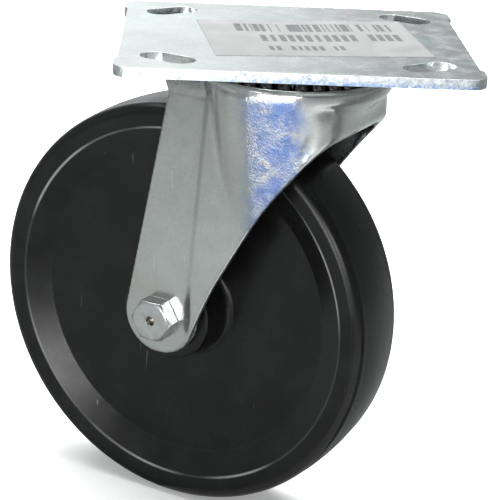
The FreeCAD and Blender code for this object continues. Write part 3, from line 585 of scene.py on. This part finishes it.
moulded = Finish("Moulded black")
mottle = moulded.grain(14 * MM, detail=4)
peel = moulded.grain(1.1 * MM, detail=2)
streaks = moulded.grain(2.2 * MM, detail=4, place=moulded.turned(0.3, (1, 1, 0.06)))
rubs = moulded.scale(streaks, 0.68, 0.76, 0, 1)
patches = moulded.scale(moulded.grain(34 * MM, detail=2), 0.52, 0.66, 0, 1)
handled = moulded.sums("MULTIPLY", moulded.sums("MULTIPLY", rubs, patches), 0.5)
from_axle = moulded.add("VectorMath", {0: moulded.place, 1: AXLE}, operation="SUBTRACT").outputs[0]
along_axle = moulded.add("VectorMath", {0: from_axle, 1: TO_HEAD}, operation="DOT_PRODUCT").outputs["Value"]
out_from_axle = moulded.add("VectorMath", {0: from_axle}, operation="LENGTH").outputs["Value"]
squares = [moulded.sums("MULTIPLY", value, value) for value in (out_from_axle, along_axle)]
radius = moulded.sums("SQRT", moulded.sums("SUBTRACT", *squares))
# Painted highlight: a light grey ring round the lip, broken up by noise, stands in for the glint on its
# rounded edge.
off_lip = moulded.sums("ABSOLUTE", moulded.sums("SUBTRACT", radius, LIP_HIGHLIGHT_RADIUS))
on_lip = moulded.scale(off_lip, 0.15 * MM, 0.6 * MM, 1, 0, smooth=True)
highlight_breaks = moulded.scale(moulded.grain(40 * MM, detail=1), 0.42, 0.62, 0.1, 1)
lip_highlight = moulded.sums("MULTIPLY", on_lip, highlight_breaks)
scuffs_and_lip_highlight = moulded.sums("MAXIMUM", handled, lip_highlight)
clouded = moulded.scale(mottle, 0.35, 0.65, 0, 1)
black = moulded.blend(clouded, (0.003, 0.003, 0.003), (0.0055, 0.0055, 0.0057))
satin = moulded.scale(mottle, 0.3, 0.7, 0.22, 0.30)
MOULDED_BLACK = moulded.wire(
    # Light grey where handling rubbed it, and along the painted lip highlight.
    base_color=moulded.blend(moulded.scale(scuffs_and_lip_highlight, 0, 1, 0, 0.8), black, (0.24, 0.24, 0.243)),
    roughness=moulded.sums("ADD", satin, moulded.scale(handled, 0, 1, 0, 0.2)),
    specular_ior_level=0.25,
    normal=moulded.bump(peel, 0.010 * MM, under=moulded.bump(mottle, 0.06 * MM)),
)
fit(wheel, "wheel", MOULDED_BLACK, "wheel_polyolefin", "wheel")

# ---------------------------------------------------------------- Roller bearing
# Ten ground rollers in a moulded cage that fills the hub's bore, round the spanner sleeve. A
# hardened washer at each end keeps the hub off the legs. All of it carries a film of grease.
ground = Finish("Ground bearing steel")
lines = ground.grain(0.5 * MM, detail=2, place=ground.turned(LEAD_ANGLE, (1, 0.05, 1)))
oil = ground.grain(4 * MM, detail=4, warp=0.5)
BEARING_STEEL = ground.wire(
    base_color=ground.blend(ground.scale(oil, 0.45, 0.65, 0, 1), (0.55, 0.55, 0.55), (0.30, 0.28, 0.25)),
    metallic=1.0,
    roughness=ground.scale(oil, 0.4, 0.6, 0.32, 0.2),
    normal=ground.bump(lines, 0.004 * MM),
)
caged = Finish("Cage nylon")
flow = caged.grain(6 * MM, detail=3)
CAGE_NYLON = caged.wire(
    base_color=caged.blend(caged.scale(flow, 0.35, 0.65, 0, 1), (0.022, 0.022, 0.024), (0.035, 0.035, 0.038)),
    roughness=caged.scale(flow, 0.3, 0.7, 0.4, 0.55),
    normal=caged.bump(caged.grain(0.7 * MM), 0.01 * MM),
)
for node, radius in (("near_thrust_washer", 0.2), ("far_thrust_washer", 0.2), ("spanner_sleeve", 0.25)):
    fit(softened(node, radius * MM), "fork", BEARING_STEEL, "bearing_steel", node)
fit(softened("roller_cage", 0.2 * MM), "roller_ring", CAGE_NYLON, "cage_nylon", "roller_cage")
fit(softened("axle_rollers", 0.25 * MM), "roller_ring", BEARING_STEEL, "bearing_steel", "axle_rollers")

# ---------------------------------------------------------------- Axle bolt
# Hexagon bolt, 3/8 in by 16 threads to the inch, forged with a centre hole in its chamfered head,
# then thread rolled at the end and zinc plated. The hole is lined with the darker greased race steel
# as painted shade.
FLATS = 14.29 * MM
SHANK = 4.7625 * MM
LEG_FACE, HEAD_HEIGHT = 25 * MM, 5.9 * MM
NUT_HEIGHT, COLLAR_HEIGHT, BOLT_PROUD = 6.6 * MM, 2.6 * MM, 1.6 * MM
BOLT_END = -(LEG_FACE + NUT_HEIGHT + COLLAR_HEIGHT + BOLT_PROUD)
THREAD_START, THREAD_DEPTH, THREAD_SHAPE = -26 * MM, 0.55 * MM, 1.2
PITCH = 25.4 / 16 * MM
THREAD_STEP = PITCH / 10
CHAMFER_FROM, CHAMFER_ANGLE = 6.8 * MM, math.radians(30)
SEAT_ROUND, FACE_EASE = 0.25 * MM, 0.12 * MM
FORGED_ROUND, FORGED_FROM = 0.14 * MM, math.radians(40)
HOLE_RADIUS, HOLE_RIM = 1.7 * MM, 0.2 * MM
AROUND = 96


def hexagon_reach(angle, ease=0.0):
    """Distance from the axis to the hexagon's flat at this angle."""
    off_middle = (angle + math.pi / 6) % (math.pi / 3) - math.pi / 6
    return (FLATS / 2 - ease) / math.cos(math.pi / 6 - abs(off_middle))


def hexagon_rings(base, face, outward):
    """Rings of a chamfered hexagon, from its seat to the round flat on its face."""
    turns = [math.tau * i / AROUND for i in range(AROUND)]

    def ring(radius_at, along_at):
        return [(radius_at(a) * math.cos(a), radius_at(a) * math.sin(a), along_at(a)) for a in turns]

    def chamfer(radius):
        return face - outward * max(0.0, radius - CHAMFER_FROM) * math.tan(CHAMFER_ANGLE)

    def eased(angle):
        return hexagon_reach(angle, FACE_EASE)

    def half_way(angle):
        return (eased(angle) + CHAMFER_FROM) / 2

    return [
        ring(lambda a: hexagon_reach(a) - SEAT_ROUND, lambda a: base),
        ring(hexagon_reach, lambda a: base + outward * SEAT_ROUND),
        ring(hexagon_reach, lambda a: chamfer(hexagon_reach(a)) - outward * FACE_EASE),
        ring(eased, lambda a: chamfer(eased(a))),
        ring(half_way, lambda a: chamfer(half_way(a))),
        ring(lambda a: CHAMFER_FROM, lambda a: face),
        ring(lambda a: CHAMFER_FROM - 0.3 * MM, lambda a: face),
    ]


def thread_ring(along):
    """Ring of a rolled thread that fades in from the plain shank and runs out at the bolt's end."""
    fade_in = min(1.0, max(0.0, (THREAD_START - along) / PITCH))
    run_out = min(1.0, (along - BOLT_END) / (0.5 * PITCH) + 0.2)
    ring = []
    for i in range(AROUND):
        phase = (along / PITCH + i / AROUND) % 1
        groove = (0.5 + 0.5 * math.cos(math.tau * phase)) ** THREAD_SHAPE
        radius = SHANK - THREAD_DEPTH * fade_in * run_out * groove
        angle = math.tau * i / AROUND
        ring.append((radius * math.cos(angle), radius * math.sin(angle), along))
    return ring


def forged(piece):
    """The piece with small even rounds on its edges."""
    edges = piece.modifiers.new("forged edges", "BEVEL")
    edges.width, edges.segments, edges.limit_method = FORGED_ROUND, 2, "ANGLE"
    edges.angle_limit = FORGED_FROM
    piece.modifiers.new("even shading", "WEIGHTED_NORMAL")
    return piece


head_face = LEG_FACE + HEAD_HEIGHT
head = hexagon_rings(LEG_FACE, head_face, 1)
centre_hole = [(1.9, 0), (1.75, -0.1), (1.65, -0.5), (1.6, -2.4), (0.5, -2.9)]
head += [circle(radius * MM, head_face + depth * MM, AROUND) for radius, depth in centre_hole]
shank = [circle(SHANK, LEG_FACE + 0.5 * MM, AROUND), circle(SHANK, THREAD_START, AROUND)]
rows_of_thread = int((THREAD_START - BOLT_END - 0.6 * MM) / THREAD_STEP)
shank += [thread_ring(THREAD_START - k * THREAD_STEP) for k in range(1, rows_of_thread + 1)]
shank += [circle(SHANK - 0.75 * MM, BOLT_END, AROUND), circle(SHANK - 1.2 * MM, BOLT_END, AROUND)]
bolt = forged(lofted("axle_bolt_finished", list(reversed(shank)) + head, ON_AXLE))
BOLT_ZINC = plated_zinc("Bolt zinc", (0.50, 0.52, 0.52), (0.40, 0.42, 0.42), (0.16, 0.28), cloud=4 * MM)
fit(bolt, "fork", BOLT_ZINC, "bolt_zinc", "axle_bolt")
# Painted shade: the faces inside the centre hole take the darker greased race steel.
bolt.data.materials.append(RACE_STEEL)
for face in bolt.data.polygons:
    at = ON_AXLE.inverted() @ face.center
    in_hole = math.hypot(at.x, at.y) < HOLE_RADIUS and HOLE_RIM < head_face - at.z < HEAD_HEIGHT
    face.material_index = int(in_hole)

# ---------------------------------------------------------------- Locking nut
# Hexagon nut on the far leg with a round collar crimped over a nylon ring, which grips the
# bolt's thread so that the wheel can't shake it loose.
NUT_FACE = -(LEG_FACE + NUT_HEIGHT)
THREAD_PLAY = 0.1 * MM
nut_rings = hexagon_rings(-LEG_FACE, NUT_FACE, -1)
collar = [
    (6.6, 0.0), (6.6, -1.7), (6.3, -2.3), (5.9, -2.6),
    (5.55, -2.6), (5.4, -2.35), (5.4, -2.0), (4.9, -2.0),
]
nut_rings += [circle(radius * MM, NUT_FACE + along * MM, AROUND) for radius, along in collar]
nut_rings += [circle(SHANK + THREAD_PLAY, along, AROUND) for along in (NUT_FACE, -LEG_FACE)]
nut = forged(lofted("axle_nut_finished", nut_rings, ON_AXLE, closed=True))
fit(nut, "fork", BOLT_ZINC, "bolt_zinc", "axle_nut")

ringed = Finish("Ring nylon")
cloudy = ringed.grain(1.5 * MM, detail=3)
RING_NYLON = ringed.wire(
    base_color=ringed.blend(ringed.scale(cloudy, 0.35, 0.65, 0, 1), (0.70, 0.72, 0.68), (0.82, 0.83, 0.80)),
    roughness=ringed.scale(cloudy, 0.3, 0.7, 0.35, 0.5),
    subsurface_weight=0.2,
    normal=ringed.bump(ringed.grain(0.4 * MM), 0.01 * MM),
)
fit(softened("nut_locking_ring", 0.2 * MM), "fork", RING_NYLON, "ring_nylon", "nut_locking_ring")

# ---------------------------------------------------------------- Studio
# Plain pale floor, lifted a little in the shade. One large soft light overhead and behind, three
# small low ones in front, and grey mats and a dim surround for the metal to mirror.
FLOOR_REACH, FLOOR_GAP = 6.0, 0.2 * MM
floor_mesh = bpy.data.meshes.new("floor")
work = bmesh.new()
bmesh.ops.create_grid(work, x_segments=8, y_segments=8, size=FLOOR_REACH)
work.to_mesh(floor_mesh)
work.free()
floor = bpy.data.objects.new("floor", floor_mesh)
floor.location.z = wheel_low.z - FLOOR_GAP
bpy.context.scene.collection.objects.link(floor)
matt = Finish("Floor")
speck = matt.grain(0.4, detail=2)
floor.data.materials.append(matt.wire(
    base_color=matt.blend(matt.scale(speck, 0.3, 0.7, 0, 1), (0.90, 0.90, 0.90), (0.93, 0.93, 0.93)),
    roughness=0.9, specular_ior_level=0.1, emission_color=(1, 1, 1, 1), emission_strength=0.18,
))


def soft_light(name, place, aim, width, height, power, spread=180):
    """Rectangular light turned from its place towards its aim, never seen itself."""
    lamp = bpy.data.lights.new(name, "AREA")
    lamp.shape, lamp.size, lamp.size_y = "RECTANGLE", width, height
    lamp.energy, lamp.spread = power, math.radians(spread)
    light = bpy.data.objects.new(name, lamp)
    light.location = place
    light.rotation_euler = (Vector(aim) - Vector(place)).to_track_quat("-Z", "Y").to_euler()
    light.visible_camera = False
    bpy.context.scene.collection.objects.link(light)


soft_light("overhead", (0.0, 0.50, 0.60), (0.0, 0.50, -0.18), 1.3, 1.1, 13, spread=95)
soft_light("floor panel", (-0.27, -0.35, -0.172), (0.0, -0.03, -0.03), 0.09, 0.16, 0.75)
soft_light("low front", (-0.32, -0.78, -0.04), (0.0, 0.0, -0.04), 0.42, 0.25, 1.8)
soft_light("by the camera", (-0.035, -0.74, 0.05), (-0.05, -0.06, -0.10), 0.14, 0.12, 1.0)


def grey_mat(name, corners, grey, lift, back):
    """Mat laid beside the wheel for the metal to mirror. It is never seen and throws no shadow."""
    mesh = bpy.data.meshes.new(name)
    work = bmesh.new()
    work.faces.new([work.verts.new((x, y, floor.location.z + 1 * MM)) for x, y in corners])
    work.to_mesh(mesh)
    work.free()
    mat = bpy.data.objects.new(name, mesh)
    bpy.context.scene.collection.objects.link(mat)
    cloth = Finish(name)
    weave = cloth.grain(0.05, detail=2)
    away = cloth.add("VectorMath", {0: cloth.place}, operation="LENGTH").outputs["Value"]
    to_back = cloth.add("SeparateXYZ", {0: cloth.place}).outputs["Y"]
    darker, lighter, rear = (tuple(share * part for part in grey) for share in (0.95, lift, back))
    woven = cloth.blend(cloth.scale(weave, 0.3, 0.7, 0, 1), darker, grey)
    # Painted light: the grey is made lighter away from the wheel against the lamps' falloff, and changed
    # towards the back, to set how bright the metal mirrors the mat.
    fade_and_painted_light = cloth.blend(cloth.scale(away, 0.30, 0.50, 0, 1), woven, lighter)
    mesh.materials.append(cloth.wire(
        base_color=cloth.blend(cloth.scale(to_back, -0.08, 0.10, 0, 1), fade_and_painted_light, rear),
        roughness=0.9, specular_ior_level=0.1,
    ))
    mat.visible_camera = False
    mat.visible_shadow = False
    mat.visible_diffuse = False


grey_mat(
    "left mat",
    ((-0.02, -0.07), (-0.03, -0.49), (-0.14, -0.49), (-0.40, -0.95), (-1.1, -0.9),
     (-1.5, 0.1), (-1.2, 1.2), (-0.07, 1.2), (-0.06, 0.08)),
    (0.40, 0.42, 0.41), 1.42, 0.62,
)
grey_mat(
    "right mat",
    ((0.05, -0.05), (0.6, -0.40), (1.4, 0.3), (0.9, 1.2), (-0.05, 1.2), (-0.03, 0.07)),
    (0.12, 0.128, 0.125), 2.0, 2.0,
)

SKY_DIM, SKY_BEHIND, SKY_LEFT = 0.26, 0.87, 0.32
LEFTWARD = (-0.85, -0.50, 0.15)
world = bpy.data.worlds.new("surround")
world.use_nodes = True
sky = world.node_tree


def sky_node(kind, inputs, **settings):
    """Outputs of a node of the surround, with plain values or other outputs in its sockets."""
    made = sky.nodes.new("ShaderNode" + kind)
    for name, value in settings.items():
        setattr(made, name, value)
    for socket, value in inputs.items():
        if isinstance(value, bpy.types.NodeSocket):
            sky.links.new(value, made.inputs[socket])
        else:
            made.inputs[socket].default_value = value
    return made.outputs


def sky_range(value, low, high, to_low, to_high):
    """The value carried over from one range to another, with soft ends."""
    inputs = dict(enumerate((value, low, high, to_low, to_high)))
    return sky_node("MapRange", inputs, interpolation_type="SMOOTHSTEP")[0]


look = sky_node("TexCoord", {})["Generated"]
towards = sky_node("SeparateXYZ", {0: look})
behind = sky_range(towards["Y"], 0.60, 0.93, 0.0, SKY_BEHIND)
to_left = sky_range(towards["X"], -0.03, 0.17, 1.0, 0.14)
rear_wall = sky_node("Math", {0: behind, 1: to_left}, operation="MULTIPLY")[0]
leftness = sky_node("VectorMath", {0: look, 1: LEFTWARD}, operation="DOT_PRODUCT")["Value"]
left_wall = sky_range(leftness, 0.5, 0.9, 0.0, SKY_LEFT)
walls = sky_node("Math", {0: rear_wall, 1: left_wall}, operation="ADD")[0]
glow = sky_node("Math", {0: walls, 1: SKY_DIM}, operation="ADD")[0]
sky.nodes["Background"].inputs["Color"].default_value = (0.95, 0.99, 1.0, 1)
sky.links.new(glow, sky.nodes["Background"].inputs["Strength"])
bpy.context.scene.world = world

# ---------------------------------------------------------------- Camera
# Long lens a little above the plate, looking down on the bolt's side of the wheel, turned
# slightly and rolled by under three degrees.
EYE, LENS = (-0.03462, -0.5505, 0.12481), 118.7
azimuth, elevation, roll = 0.042, 0.352, 0.047
ahead = math.cos(elevation)
forward = Vector((math.sin(azimuth) * ahead, math.cos(azimuth) * ahead, -math.sin(elevation)))
level = Vector((math.cos(azimuth), -math.sin(azimuth), 0))
upright = level.cross(forward)
right = math.cos(roll) * level + math.sin(roll) * upright
up = math.cos(roll) * upright - math.sin(roll) * level
camera = bpy.data.objects.new("camera", bpy.data.cameras.new("camera"))
bpy.context.scene.collection.objects.link(camera)
pose = Matrix((right, up, -forward)).transposed().to_4x4()
pose.translation = Vector(EYE)
camera.matrix_world = pose
camera.data.lens = LENS
camera.data.clip_start = 0.01
bpy.context.scene.camera = camera
bpy.context.scene.view_settings.view_transform = "Standard"
